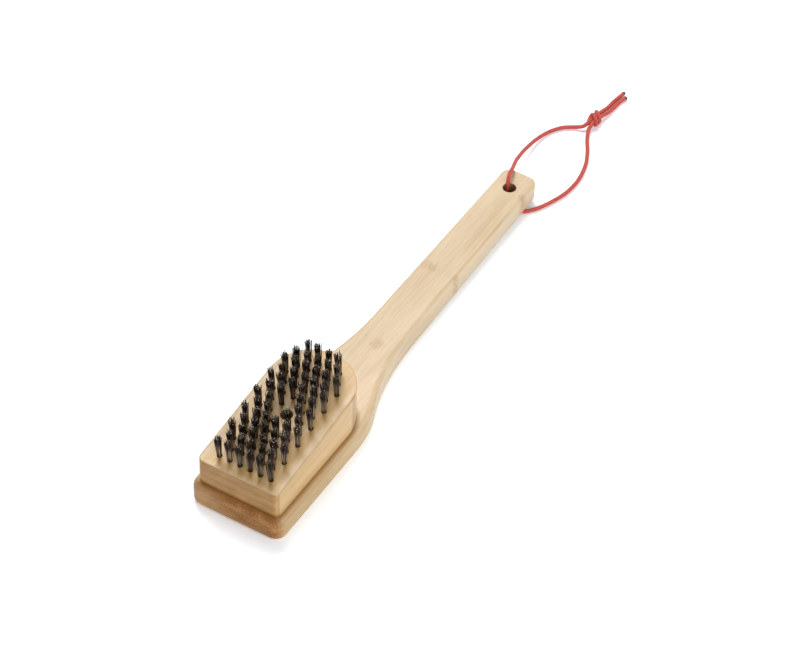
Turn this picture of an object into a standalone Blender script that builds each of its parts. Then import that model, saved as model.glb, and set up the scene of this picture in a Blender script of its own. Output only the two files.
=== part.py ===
"""Grill brush with a bamboo handle board, a wedge-shaped block of wire tufts screwed on top of it,
and a cord tied through the hole at the end of the grip.

Metres. The handle runs along X, with the hanging hole at +X and the brush at -X. +Z is up, and the
paddle's flat underside lies on Z = 0. The origin is under the middle of the handle's length.
"""

import math

import bmesh
import bpy
from mathutils import Vector

# Handle board
OVERALL_LENGTH = 0.305
BOARD_THICKNESS = 0.0155
PADDLE_WIDTH = 0.0566
PADDLE_CORNER_RADIUS = 0.008
NECK_LENGTH = 0.088
GRIP_NECK_WIDTH = 0.0242
GRIP_END_WIDTH = 0.022
GRIP_CORNER_RADIUS = 0.006
BOARD_TOP_ROUND = 0.002
BOARD_BACK_ROUND = 0.004
HANG_HOLE_DIAMETER = 0.008
HANG_HOLE_FROM_END = 0.0145
RELIEF_FROM_NECK = 0.063

# Brush block, a wedge that rises towards the grip
LEDGE = 0.0032
BLOCK_LENGTH = 0.0944
BLOCK_FRONT_HEIGHT = 0.0164
BLOCK_SLOPE = math.radians(6.4)
BLOCK_CORNER_RADIUS = 0.004
BLOCK_TOP_EASE = 0.0006
BLOCK_FOOT_CHAMFER = 0.0008

# Wire tufts, in staggered rows across the block
TUFT_PITCH_ACROSS = 0.0063
TUFT_PITCH_ALONG = 0.0064
TUFT_FRONT_MARGIN = 0.0078
TUFT_SIDE_MARGIN = 0.007
TUFT_LENGTH = 0.0163
TUFT_ROOT_DIAMETER = 0.003
TUFT_TIP_DIAMETER = 0.0038
TUFT_UNEVENNESS = 0.03
STRAND_DIAMETER = 0.0009
STRANDS_ROUND_TUFT = 6
STRAND_ROOT_DEPTH = 0.001
SLICE_THICKNESS = 0.0025
SLICE_RIM = 0.0006
SLICE_END_MARGIN = 0.003

# Head screw, reached between the tufts
SCREW_ACCESS_DIAMETER = 0.007
SCREW_FREE_RADIUS = 0.0079
SCREW_SEAT_THICKNESS = 0.005
SCREW_HEAD_DIAMETER = 0.0062
SCREW_HEAD_HEIGHT = 0.0024
SCREW_SHANK_DIAMETER = 0.0032
SCREW_LENGTH = 0.016
SCREW_POINT_LENGTH = 0.004
SCREW_RECESS_WIDTH = 0.0009
SCREW_RECESS_LENGTH = 0.0036
SCREW_RECESS_DEPTH = 0.0012
PILOT_SPARE_DEPTH = 0.001

# Cord and its knot
CORD_DIAMETER = 0.0024
CORD_STEP = 2 * CORD_DIAMETER
KNOT_LENGTH = 0.012
KNOT_RADIUS = 0.0046
KNOT_END_RADIUS = 0.0031
KNOT_RIDGE = 0.0006
KNOT_WRAPS = 4
KNOT_CENTRE = (0.2314, -0.0073, 0.0047)
KNOT_TURN = math.radians(-8)

# Gap between pieces that touch
CLEARANCE = 0.0003

# Round shapes
ROUND_SEGMENTS = 32
FINE = 0.00001

# Worked out from the sizes above
FRONT_X = -OVERALL_LENGTH / 2
REAR_X = OVERALL_LENGTH / 2
HOLE_X = REAR_X - HANG_HOLE_FROM_END
BLOCK_WIDTH = PADDLE_WIDTH - 2 * LEDGE
BLOCK_FRONT_X = FRONT_X + LEDGE
BLOCK_ARC_X = BLOCK_FRONT_X + BLOCK_LENGTH - BLOCK_WIDTH / 2
BLOCK_FOOT_Z = BOARD_THICKNESS + CLEARANCE
BLOCK_TOP_Z = BLOCK_FOOT_Z + BLOCK_FRONT_HEIGHT
NECK_END_X = BLOCK_ARC_X + NECK_LENGTH
RELIEF_X = BLOCK_ARC_X + RELIEF_FROM_NECK
GRIP_LIFT = CORD_DIAMETER + 2 * CLEARANCE
SCREW_X = BLOCK_FRONT_X + BLOCK_LENGTH / 2
SCREW_SEAT_Z = BLOCK_FOOT_Z + SCREW_SEAT_THICKNESS
SCREW_TIP_Z = SCREW_SEAT_Z + CLEARANCE - SCREW_LENGTH
SLICE_WIDTH = TUFT_ROOT_DIAMETER + 2 * SLICE_RIM

# The neck's side, as shares of the neck's length and of the width that it loses.
# Each entry is the handle before, the point, and the handle after.
NECK_CURVE = [
    ((-0.10, 1.0), (0.0, 1.0), (0.227, 1.0)),
    ((0.290, 0.790), (0.398, 0.574), (0.523, 0.327)),
    ((0.716, 0.043), (1.0, 0.0), None),
]

# The cord's route, from the knot over the end of the grip, down the hole and back under the grip
CORD_ROUTE = [
    (0.2248, -0.0050, 0.0036),
    (0.2235, -0.0045, 0.0032),
    (0.2223, -0.0031, 0.0026),
    (0.2213, -0.0006, 0.0019),
    (0.2196, 0.0028, 0.0015),
    (0.2163, 0.0068, 0.0015),
    (0.2093, 0.0111, 0.0016),
    (0.1985, 0.0136, 0.0028),
    (0.1826, 0.0135, 0.0060),
    (0.1723, 0.0118, 0.0095),
    (0.1616, 0.0092, 0.0140),
    (0.1517, 0.0060, 0.0180),
    (0.1477, 0.0045, 0.0196),
    (0.1440, 0.0031, 0.0202),
    (0.1414, 0.0020, 0.0188),
    (0.1403, 0.0016, 0.0160),
    (0.1400, 0.0015, 0.0120),
    (0.1400, 0.0015, 0.0085),
    (0.1400, 0.0014, 0.0058),
    (0.1400, 0.0006, 0.0036),
    (0.1400, -0.0011, 0.0020),
    (0.1400, -0.0034, 0.0015),
    (0.1400, -0.0068, 0.0015),
    (0.1414, -0.0110, 0.0015),
    (0.1457, -0.0157, 0.0015),
    (0.1536, -0.0194, 0.0015),
    (0.1656, -0.0231, 0.0015),
    (0.1790, -0.0240, 0.0015),
    (0.1935, -0.0214, 0.0015),
    (0.2052, -0.0166, 0.0015),
    (0.2140, -0.0117, 0.0015),
    (0.2183, -0.0096, 0.0018),
    (0.2217, -0.0084, 0.0029),
    (0.2245, -0.0080, 0.0036),
]
LONG_TAIL_ROUTE = [
    (0.2380, -0.0068, 0.0035),
    (0.2415, -0.0073, 0.0031),
    (0.2461, -0.0078, 0.0022),
    (0.2505, -0.0079, 0.0016),
    (0.2549, -0.0081, 0.0015),
    (0.2611, -0.0090, 0.0015),
    (0.2659, -0.0097, 0.0015),
]
SHORT_TAIL_ROUTE = [
    (0.2377, -0.0095, 0.0035),
    (0.2402, -0.0099, 0.0030),
    (0.2430, -0.0103, 0.0022),
    (0.2488, -0.0108, 0.0015),
    (0.2569, -0.0114, 0.0015),
    (0.2625, -0.0129, 0.0015),
]


def clear_scene():
    for obj in list(bpy.data.objects):
        bpy.data.objects.remove(obj, do_unlink=True)


def make_collection(name):
    collection = bpy.data.collections.new(name)
    bpy.context.scene.collection.children.link(collection)
    return collection


def make_material(name, colour, roughness, metallic=0.0):
    material = bpy.data.materials.new(name)
    material.use_nodes = True
    shader = material.node_tree.nodes["Principled BSDF"]
    shader.inputs["Base Color"].default_value = (*colour, 1.0)
    shader.inputs["Roughness"].default_value = roughness
    shader.inputs["Metallic"].default_value = metallic
    return material


def add_part(obj, material):
    """Put a finished piece in the brush's collection, with its material."""
    brush.objects.link(obj)
    obj.data.materials.append(material)
    return obj


def add_cutter(obj):
    """Put a cutter, or a shape that is only joined to a piece, among the cutters."""
    cutters.objects.link(obj)
    obj.hide_render = True
    obj.display_type = "WIRE"
    return obj


def mesh_object(name, bm):
    mesh = bpy.data.meshes.new(name)
    bm.to_mesh(mesh)
    bm.free()
    return bpy.data.objects.new(name, mesh)


def seat(obj, parent, location, rotation=(0.0, 0.0, 0.0)):
    """Place a piece at a world position under an unturned parent empty."""
    obj.parent = parent
    obj.location = Vector(location) - (parent.location if parent else Vector())
    obj.rotation_euler = rotation
    return obj


def boolean(obj, other, operation):
    modifier = obj.modifiers.new(operation.title() + " " + other.name, "BOOLEAN")
    modifier.operation = operation
    modifier.solver = "EXACT"
    modifier.object = other


def bevel(obj, name, width, segments, group=None):
    """Bevel the edges of a vertex group, or every edge that turns by more than 60 degrees."""
    modifier = obj.modifiers.new(name, "BEVEL")
    modifier.width = width
    modifier.segments = segments
    modifier.limit_method = "VGROUP" if group else "ANGLE"
    modifier.angle_limit = math.radians(60)
    modifier.use_clamp_overlap = False
    if group:
        modifier.vertex_group = group


def shade(obj, angle=35):
    obj.data.shade_smooth()
    obj.data.set_sharp_from_angle(angle=math.radians(angle))


def box(bm, low, high):
    """Add a box between two corners."""
    made = bmesh.ops.create_cube(bm, size=1.0)
    low, high = Vector(low), Vector(high)
    bmesh.ops.scale(bm, vec=high - low, verts=made["verts"])
    bmesh.ops.translate(bm, vec=(low + high) / 2, verts=made["verts"])


def box_object(name, low, high):
    bm = bmesh.new()
    box(bm, low, high)
    return mesh_object(name, bm)


def drill(name, diameter, bottom, top):
    """A round cutter between two heights, with its origin on its own axis."""
    bm = bmesh.new()
    made = bmesh.ops.create_cone(
        bm,
        cap_ends=True,
        segments=ROUND_SEGMENTS,
        radius1=diameter / 2,
        radius2=diameter / 2,
        depth=top - bottom,
    )
    bmesh.ops.translate(bm, vec=(0, 0, (top + bottom) / 2), verts=made["verts"])
    return add_cutter(mesh_object(name, bm))


def plate(name, outline, thickness, resolution):
    """A flat piece from half an outline, as a closed mesh standing on its own Z = 0.

    Each entry of the outline is the handle before, the point and the handle after, for the +Y
    side from front to rear. The other side is its mirror image, apart from a point on the centre line.
    """
    def flip(entry):
        return [(x, -y) for x, y in reversed(entry)]

    mirrored = [flip(entry) for entry in reversed(outline) if entry[1][1] > FINE]
    points = outline + mirrored
    curve = bpy.data.curves.new(name + " outline", "CURVE")
    curve.dimensions = "2D"
    curve.fill_mode = "BOTH"
    curve.extrude = thickness / 2
    curve.resolution_u = resolution
    spline = curve.splines.new("BEZIER")
    spline.bezier_points.add(len(points) - 1)
    for knot, (before, place, after) in zip(spline.bezier_points, points):
        knot.handle_left_type = "FREE"
        knot.handle_right_type = "FREE"
        knot.co = (*place, 0.0)
        knot.handle_left = (*before, 0.0)
        knot.handle_right = (*after, 0.0)
    spline.use_cyclic_u = True
    drawn = bpy.data.objects.new(name + " outline", curve)
    drawn.location.z = thickness / 2
    bpy.context.scene.collection.objects.link(drawn)
    bpy.context.view_layer.update()
    mesh = bpy.data.meshes.new_from_object(drawn.evaluated_get(bpy.context.evaluated_depsgraph_get()))
    mesh.transform(drawn.matrix_world)
    bpy.data.objects.remove(drawn)
    bm = bmesh.new()
    bm.from_mesh(mesh)
    bpy.data.meshes.remove(mesh)
    bmesh.ops.remove_doubles(bm, verts=bm.verts, dist=FINE)
    bmesh.ops.dissolve_limit(bm, angle_limit=math.radians(0.5), verts=bm.verts, edges=bm.edges)
    bmesh.ops.recalc_face_normals(bm, faces=bm.faces)
    return mesh_object(name, bm)


def corner(x, y, radius, into_x):
    """The two outline points of a rounded corner: into_x is 1 at a side's start, -1 at its end."""
    pull = radius * 0.5523
    on_end = (x, y - radius)
    on_side = (x + into_x * radius, y)
    first = ((x, y - radius - pull), on_end, (x, y - radius + pull))
    second = ((on_side[0] - into_x * pull, y), on_side, (on_side[0] + into_x * pull, y))
    if into_x > 0:
        return [first, second]
    return [tuple(reversed(second)), tuple(reversed(first))]


def turned(name, profile, segments):
    """A turned piece from (radius, height) points that run down its outer side."""
    bm = bmesh.new()
    ring = [bm.verts.new((radius, 0.0, height)) for radius, height in profile]
    for upper, lower in zip(ring, ring[1:]):
        bm.edges.new((upper, lower))
    obj = mesh_object(name, bm)
    modifier = obj.modifiers.new("Turn", "SCREW")
    modifier.steps = segments
    modifier.render_steps = segments
    modifier.use_merge_vertices = True
    modifier.merge_threshold = FINE
    return obj


def smooth_route(route):
    """Points about a cord step apart, on one smooth curve through the route's own points."""
    points = [Vector(point) for point in route]
    ends = [2 * points[0] - points[1], 2 * points[-1] - points[-2]]
    padded = [ends[0], *points, ends[1]]
    line = [points[0]]
    for before, start, stop, after in zip(padded, padded[1:], padded[2:], padded[3:]):
        span = (stop - start).length
        lean_in = (stop - before) * span / ((stop - start).length + (start - before).length)
        lean_out = (after - start) * span / ((after - stop).length + (stop - start).length)
        steps = max(1, round(span / CORD_STEP))
        for step in range(1, steps + 1):
            t = step / steps
            line.append(
                (2 * t**3 - 3 * t**2 + 1) * start
                + (t**3 - 2 * t**2 + t) * lean_in
                + (3 * t**2 - 2 * t**3) * stop
                + (t**3 - t**2) * lean_out
            )
    return line


def cord(name, route, material):
    """A length of cord along a route, as a tube with filled ends."""
    line = smooth_route(route)
    curve = bpy.data.curves.new(name, "CURVE")
    curve.dimensions = "3D"
    curve.bevel_depth = CORD_DIAMETER / 2
    curve.bevel_resolution = 2
    curve.use_fill_caps = True
    spline = curve.splines.new("POLY")
    spline.points.add(len(line) - 1)
    for point, place in zip(spline.points, line):
        point.co = (*place, 1.0)
    length = sum((b - a).length for a, b in zip(line, line[1:]))
    print(f"{name}: {len(line)} points, {length * 1000:.0f} mm long")
    return add_part(bpy.data.objects.new(name, curve), material)


def block_half_width(x):
    """Half the block's width at a distance behind its front, round its rear arc too."""
    radius = BLOCK_WIDTH / 2
    past = x - (BLOCK_LENGTH - radius)
    if past <= 0:
        return radius
    return math.sqrt(max(0.0, radius**2 - past**2))


def tuft_rows():
    """Each row's distance up the sloped top, with the places of its tufts across the block.

    Rows alternate between places on the centre line and places half a pitch off it. Places too near
    the block's outline or the screw are left out.
    """
    screw_up = BLOCK_LENGTH / 2 / math.cos(BLOCK_SLOPE)
    rows = []
    up = TUFT_FRONT_MARGIN
    while up * math.cos(BLOCK_SLOPE) <= BLOCK_LENGTH - TUFT_SIDE_MARGIN:
        reach = block_half_width(up * math.cos(BLOCK_SLOPE)) - TUFT_SIDE_MARGIN
        offset = 0.5 if len(rows) % 2 == 0 else 0.0
        most = math.floor(reach / TUFT_PITCH_ACROSS - offset)
        half = [(k + offset) * TUFT_PITCH_ACROSS for k in range(most + 1)]
        across = sorted({*half, *[-y for y in half]})
        rows.append((up, [y for y in across if math.hypot(up - screw_up, y) > SCREW_FREE_RADIUS]))
        up += TUFT_PITCH_ALONG
    return rows, screw_up


def slice_spans(up, across, screw_up):
    """The pieces that a row's slice is made in: one, or a right and a left one beside the screw."""
    if abs(up - screw_up) < SCREW_FREE_RADIUS:
        right = [y for y in across if y < 0]
        left = [y for y in across if y > 0]
        return [("_right", right), ("_left", left)]
    return [("", across)]


def strands(name, up, across):
    """The wires of one slice's tufts, standing on the sloped top and spreading towards their tips."""
    bm = bmesh.new()
    root_ring = (TUFT_ROOT_DIAMETER - STRAND_DIAMETER) / 2
    tip_ring = (TUFT_TIP_DIAMETER - STRAND_DIAMETER) / 2
    for y in across:
        for index in range(STRANDS_ROUND_TUFT + 1):
            row_phase, place_phase = up / TUFT_PITCH_ALONG, y / TUFT_PITCH_ACROSS
            turn = 2 * math.pi * index / STRANDS_ROUND_TUFT + row_phase + place_phase
            away = Vector((math.cos(turn), math.sin(turn), 0.0)) if index < STRANDS_ROUND_TUFT else Vector()
            uneven = math.sin(7 * index + 11 * row_phase + 5 * place_phase)
            height = TUFT_LENGTH * (1 + TUFT_UNEVENNESS * uneven)
            root = Vector((up, y, -STRAND_ROOT_DEPTH)) + away * root_ring
            tip = Vector((up, y, height)) + away * tip_ring
            wire = bmesh.ops.create_cone(
                bm,
                cap_ends=True,
                segments=3,
                radius1=STRAND_DIAMETER / 2,
                radius2=STRAND_DIAMETER / 2,
                depth=(tip - root).length,
            )
            lean = (tip - root).to_track_quat("Z", "Y").to_matrix()
            bmesh.ops.rotate(bm, matrix=lean, verts=wire["verts"])
            bmesh.ops.translate(bm, vec=(root + tip) / 2, verts=wire["verts"])
    return add_cutter(mesh_object(name, bm))


def lift_grip(board):
    """Slope the underside up towards the hanging hole, from the outline's own point nearest RELIEF_X."""
    bm = bmesh.new()
    bm.from_mesh(board.data)
    low = [v for v in bm.verts if v.co.z < FINE]
    start = min((v.co.x for v in low), key=lambda x: abs(x - RELIEF_X))
    bmesh.ops.connect_verts(bm, verts=[v for v in low if abs(v.co.x - start) < FINE])
    slope = GRIP_LIFT / (HOLE_X - start)
    for v in low:
        v.co.z = max(0.0, (v.co.x - start) * slope)
    bm.to_mesh(board.data)
    bm.free()


def handle():
    half_paddle, half_neck, half_end = PADDLE_WIDTH / 2, GRIP_NECK_WIDTH / 2, GRIP_END_WIDTH / 2

    def on_neck(share):
        along, across = share
        return (BLOCK_ARC_X + along * NECK_LENGTH, half_neck + across * (half_paddle - half_neck))

    taper = (half_end - half_neck) / (REAR_X - NECK_END_X)
    past_neck = (NECK_END_X + GRIP_CORNER_RADIUS, half_neck + taper * GRIP_CORNER_RADIUS)
    neck = [tuple(on_neck(share) if share else past_neck for share in entry) for entry in NECK_CURVE]
    outline = [
        *corner(FRONT_X, half_paddle, PADDLE_CORNER_RADIUS, 1),
        *neck,
        *corner(REAR_X, half_end, GRIP_CORNER_RADIUS, -1),
    ]
    board = plate("handle", outline, BOARD_THICKNESS, 12)
    lift_grip(board)
    top = board.vertex_groups.new(name="top")
    top.add([v.index for v in board.data.vertices if v.co.z > BOARD_THICKNESS - FINE], 1.0, "REPLACE")
    bevel(board, "Round top edges", BOARD_TOP_ROUND, 3, "top")
    bevel(board, "Round back edges", BOARD_BACK_ROUND, 3)
    hang_hole = drill("hang_hole", HANG_HOLE_DIAMETER, -BOARD_THICKNESS, 2 * BOARD_THICKNESS)
    boolean(board, seat(hang_hole, None, (HOLE_X, 0, 0)), "DIFFERENCE")
    pilot = drill(
        "pilot_hole",
        SCREW_SHANK_DIAMETER + 2 * CLEARANCE,
        SCREW_TIP_Z - PILOT_SPARE_DEPTH,
        2 * BOARD_THICKNESS,
    )
    boolean(board, seat(pilot, None, (SCREW_X, 0, 0)), "DIFFERENCE")
    shade(board)
    return add_part(board, bamboo)


def brush_block(rows, screw_up, head):
    """The wedge: its plan, the sloped top, the screw's stepped hole and a groove for each slice."""
    half = BLOCK_WIDTH / 2
    arc_x = BLOCK_LENGTH - half
    pull = half * 0.5523
    outline = [
        *corner(0.0, half, BLOCK_CORNER_RADIUS, 1),
        ((arc_x - pull, half), (arc_x, half), (arc_x + pull, half)),
        ((BLOCK_LENGTH, pull), (BLOCK_LENGTH, 0.0), (BLOCK_LENGTH, -pull)),
    ]
    rise = BLOCK_LENGTH * math.tan(BLOCK_SLOPE)
    tallest = BLOCK_FRONT_HEIGHT + rise
    block = plate("brush_block", outline, tallest * 1.2, 10)
    foot = block.vertex_groups.new(name="foot")
    foot.add([v.index for v in block.data.vertices if v.co.z < FINE], 1.0, "REPLACE")
    seat(block, head, (BLOCK_FRONT_X, 0, BLOCK_FOOT_Z))
    bevel(block, "Foot chamfer", BLOCK_FOOT_CHAMFER, 1, "foot")
    over = box_object(
        "above_sloped_top",
        (-half, -BLOCK_WIDTH, 0.0),
        (2 * BLOCK_LENGTH, BLOCK_WIDTH, tallest),
    )
    add_cutter(seat(over, head, *sloped_top()))
    boolean(block, over, "DIFFERENCE")
    bevel(block, "Ease edges", BLOCK_TOP_EASE, 2)
    access = drill("screw_access", SCREW_ACCESS_DIAMETER, SCREW_SEAT_Z, SCREW_SEAT_Z + tallest * 2)
    boolean(block, seat(access, head, (SCREW_X, 0, 0)), "DIFFERENCE")
    passage = drill(
        "shank_passage",
        SCREW_SHANK_DIAMETER + 2 * CLEARANCE,
        BLOCK_FOOT_Z - BOARD_THICKNESS,
        SCREW_SEAT_Z + SCREW_HEAD_HEIGHT,
    )
    boolean(block, seat(passage, head, (SCREW_X, 0, 0)), "DIFFERENCE")
    grooves = bmesh.new()
    for up, across in rows:
        for _, places in slice_spans(up, across, screw_up):
            box(grooves, *slice_corners(up, places, CLEARANCE, SLICE_THICKNESS))
    groove_cutter = add_cutter(mesh_object("slice_grooves", grooves))
    boolean(block, seat(groove_cutter, head, *sloped_top()), "DIFFERENCE")
    shade(block)
    return add_part(block, bamboo)


def sloped_top():
    """Where the sloped top's own frame is: its front edge, turned up along the slope."""
    return (BLOCK_FRONT_X, 0.0, BLOCK_TOP_Z), (0.0, -BLOCK_SLOPE, 0.0)


def slice_corners(up, places, spare, above):
    """Two corners of a slice's box in the sloped top's frame, with spare room at its sides and under it."""
    half = SLICE_WIDTH / 2 + spare
    low = (up - half, min(places) - SLICE_END_MARGIN - spare, -SLICE_THICKNESS - spare)
    high = (up + half, max(places) + SLICE_END_MARGIN + spare, above)
    return low, high


def tuft_slices(rows, screw_up, head):
    """One slice of the block for each row, with the row's tufts fused to it."""
    for number, (up, across) in enumerate(rows, start=1):
        for side, places in slice_spans(up, across, screw_up):
            name = f"tufts_row_{number:02d}{side}"
            piece = box_object(name, *slice_corners(up, places, 0.0, 0.0))
            wires = strands(f"wires_row_{number:02d}{side}", up, places)
            seat(piece, head, *sloped_top())
            seat(wires, head, *sloped_top())
            boolean(piece, wires, "UNION")
            add_part(piece, wire)


def head_screw(head):
    """A pan-head screw with a cross recess, with its underside as its own Z = 0."""
    radius = SCREW_HEAD_DIAMETER / 2
    shank = SCREW_SHANK_DIAMETER / 2
    side_height = 0.4 * SCREW_HEAD_HEIGHT
    crown_height = SCREW_HEAD_HEIGHT - side_height
    angles = [math.radians(angle) for angle in range(0, 91, 15)]
    dome = [(radius * math.sin(angle), side_height + crown_height * math.cos(angle)) for angle in angles]
    profile = [
        *dome,
        (radius, 0.0),
        (shank, 0.0),
        (shank, SCREW_POINT_LENGTH - SCREW_LENGTH),
        (0.0, -SCREW_LENGTH),
    ]
    screw = turned("head_screw", profile, 24)
    place = (SCREW_X, 0, SCREW_SEAT_Z + CLEARANCE)
    seat(screw, head, place)
    recess = bmesh.new()
    long, wide = SCREW_RECESS_LENGTH / 2, SCREW_RECESS_WIDTH / 2
    floor = SCREW_HEAD_HEIGHT - SCREW_RECESS_DEPTH
    box(recess, (-long, -wide, floor), (long, wide, 2 * SCREW_HEAD_HEIGHT))
    slot = add_cutter(mesh_object("recess_along", recess))
    boolean(screw, seat(slot, head, place), "DIFFERENCE")
    recess = bmesh.new()
    box(recess, (-wide, -long, floor), (wide, long, 2 * SCREW_HEAD_HEIGHT))
    slot = add_cutter(mesh_object("recess_across", recess))
    boolean(screw, seat(slot, head, place), "DIFFERENCE")
    shade(screw)
    return add_part(screw, steel)


def cord_knot():
    """The knot, as a short fat barrel with a ridge for each wrap of the cord, lying along the tails."""
    steps = 4 * KNOT_WRAPS
    profile = [(0.0, KNOT_LENGTH / 2)]
    for step in range(steps + 1):
        share = step / steps
        barrel = KNOT_END_RADIUS + (KNOT_RADIUS - KNOT_END_RADIUS) * math.sqrt(math.sin(math.pi * share))
        valley = KNOT_RIDGE * (1 - abs(math.sin(math.pi * KNOT_WRAPS * share))) if 0 < step < steps else 0.0
        profile.append((barrel - valley, KNOT_LENGTH * (0.5 - share)))
    profile.append((0.0, -KNOT_LENGTH / 2))
    knot = turned("cord_knot", profile, 16)
    seat(knot, None, KNOT_CENTRE, (0.0, math.pi / 2, KNOT_TURN))
    shade(knot, 50)
    return add_part(knot, cord_red)


clear_scene()
brush = make_collection("Grill brush")
cutters = make_collection("Cutters")
bamboo = make_material("Bamboo", (0.76, 0.58, 0.34), 0.5)
wire = make_material("Wire", (0.030, 0.022, 0.018), 0.4, 0.7)
steel = make_material("Steel", (0.50, 0.49, 0.47), 0.35, 1.0)
cord_red = make_material("Cord red", (0.60, 0.08, 0.07), 0.75)

head_axis = bpy.data.objects.new("Head axis", None)
head_axis.location = (SCREW_X, 0.0, BLOCK_FOOT_Z)
brush.objects.link(head_axis)

handle()
tufts, screw_distance = tuft_rows()
brush_block(tufts, screw_distance, head_axis)
tuft_slices(tufts, screw_distance, head_axis)
head_screw(head_axis)
cord("cord_loop", CORD_ROUTE, cord_red)
cord_knot()
cord("cord_tail_long", LONG_TAIL_ROUTE, cord_red)
cord("cord_tail_short", SHORT_TAIL_ROUTE, cord_red)
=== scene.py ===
"""Looks of a grill brush: a bamboo handle board, a wedge of wire tufts and a knotted hanging cord.

Metres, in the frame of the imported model. The handle runs along X with its hanging hole at +X, +Z is
up, and the paddle's flat underside lies on Z = 0.
"""

import math
import random

import bmesh
import bpy
import numpy as np
from mathutils import Matrix, Vector


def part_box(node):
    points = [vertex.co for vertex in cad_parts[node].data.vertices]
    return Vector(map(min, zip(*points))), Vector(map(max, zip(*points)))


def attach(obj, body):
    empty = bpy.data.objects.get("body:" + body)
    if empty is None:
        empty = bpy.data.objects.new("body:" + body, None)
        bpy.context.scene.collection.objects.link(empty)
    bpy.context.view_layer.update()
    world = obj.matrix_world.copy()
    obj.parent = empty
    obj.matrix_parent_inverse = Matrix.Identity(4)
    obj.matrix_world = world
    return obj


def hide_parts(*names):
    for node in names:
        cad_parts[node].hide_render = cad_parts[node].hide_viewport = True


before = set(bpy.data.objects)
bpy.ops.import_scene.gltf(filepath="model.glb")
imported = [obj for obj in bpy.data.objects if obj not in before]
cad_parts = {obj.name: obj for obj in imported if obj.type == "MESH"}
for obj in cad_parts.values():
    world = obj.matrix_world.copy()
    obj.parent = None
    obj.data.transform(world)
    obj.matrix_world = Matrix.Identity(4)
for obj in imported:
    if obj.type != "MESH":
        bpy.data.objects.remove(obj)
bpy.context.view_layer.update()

# Camera, at the photograph's viewing angle
CAMERA_PLACE = (-0.95747, -0.53869, 1.10592)
CAMERA_AZIMUTH = math.radians(-61.07)
CAMERA_ELEVATION = math.radians(44.81)
CAMERA_ROLL = math.radians(2.78)
CAMERA_LENS = 126.84
CAMERA_SENSOR = 36.0
CAMERA_SHIFT = -0.0019

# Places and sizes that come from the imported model
BOARD_LOW, BOARD_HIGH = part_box("handle")
BLOCK_LOW, BLOCK_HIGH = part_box("brush_block")
SCREW_LOW, SCREW_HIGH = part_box("head_screw")
SCREW_X = (SCREW_LOW.x + SCREW_HIGH.x) / 2
BLOCK_LENGTH = BLOCK_HIGH.x - BLOCK_LOW.x
BLOCK_HALF_WIDTH = (BLOCK_HIGH.y - BLOCK_LOW.y) / 2
BLOCK_ARC_X = BLOCK_HIGH.x - BLOCK_HALF_WIDTH

# Handle board
PADDLE_CORNER_RADIUS = 0.0068
NECK_LENGTH = 0.088
GRIP_NECK_WIDTH = 0.0242
GRIP_END_WIDTH = 0.022
GRIP_CORNER_RADIUS = 0.0055
GRIP_TOP_ROUND = 0.002
GRIP_BACK_ROUND = 0.0012
PADDLE_TOP_ROUND = 0.004
PADDLE_BACK_ROUND = 0.0039
END_GRAIN_REACH = 0.0060
HANG_HOLE_DIAMETER = 0.008
HANG_HOLE_X = BOARD_HIGH.x - 0.0145
GRIP_END_X = BOARD_HIGH.x + 0.0011
HOLE_RIM_ROUND = 0.0003
RELIEF_X = BLOCK_ARC_X + 0.063
GRIP_LIFT = 0.003
NECK_STEPS = 16

# Brush block
BLOCK_FRONT_HEIGHT = 0.0164
BLOCK_SLOPE = math.radians(6.4)
BLOCK_CORNER_RADIUS = 0.004
BLOCK_TOP_EASE = 0.0007
BLOCK_FOOT_CHAMFER = 0.0005
BLOCK_FOOT_Z = BLOCK_LOW.z - 0.0002
SCREW_ACCESS_DIAMETER = 0.007
SHANK_PASSAGE_DIAMETER = 0.0038
SCREW_SEAT_Z = BLOCK_LOW.z + 0.005

# Wire tufts
TUFT_PITCH_ACROSS = 0.0063
TUFT_PITCH_ALONG = 0.0064
TUFT_FRONT_MARGIN = 0.0078
TUFT_SIDE_MARGIN = 0.007
SCREW_FREE_RADIUS = 0.0079
TUFT_LENGTH = 0.0163
TUFT_ROOT_DIAMETER = 0.0026
TUFT_TIP_DIAMETER = 0.0046
TUFT_HOLE_DIAMETER = 0.0031
TUFT_HOLE_DEPTH = 0.007
WIRES_IN_TUFT = 44
WIRE_DIAMETER = 0.00038
WIRE_ROOT_DEPTH = 0.003
WIRE_CUTS = 4
TUFT_LEAN = 0.00035
WIRE_TIP_SCATTER = 0.00016
WIRE_BOW = 0.00012
STRAY_WIRE_SHARE = 0.04
DARK_WIRE_LEAN = 2.5
DARK_CUT_LEAN = 8

# Screw
SCREW_CLEARANCE = 0.0003
SCREW_CORE_DIAMETER = 0.00256
SCREW_POINT_LENGTH = 0.004
CROSS_RECESS_LENGTH = 0.0036
CROSS_RECESS_WIDTH = 0.0009

# Cord
CORD_DIAMETER = 0.0024
CORD_SIDES = 32
CORD_RING_STEP = 0.00022
BRAID_CARRIERS = 8
BRAID_PITCH = 0.0150
BRAID_DEPTH = 0.00020
KNOT_CENTRE = Vector((0.2314, -0.0075, 0.0043))
KNOT_TURN = math.radians(-8)
KNOT_HALF_WIDTH = 0.0030
KNOT_HALF_HEIGHT = 0.0025
KNOT_CORE_SPREAD = 0.0010
OVER_GRIP_LENGTH = 0.1496
UNDER_GRIP_LENGTH = 0.1489

# The neck's side, as shares of the neck's length and of the width that it loses.
# Each entry is the handle before, the point, and the handle after.
NECK_CURVE = [
    ((-0.10, 1.0), (0.0, 1.0), (0.227, 1.0)),
    ((0.290, 0.790), (0.398, 0.574), (0.523, 0.327)),
    ((0.716, 0.043), (1.0, 0.0), None),
]

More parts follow.
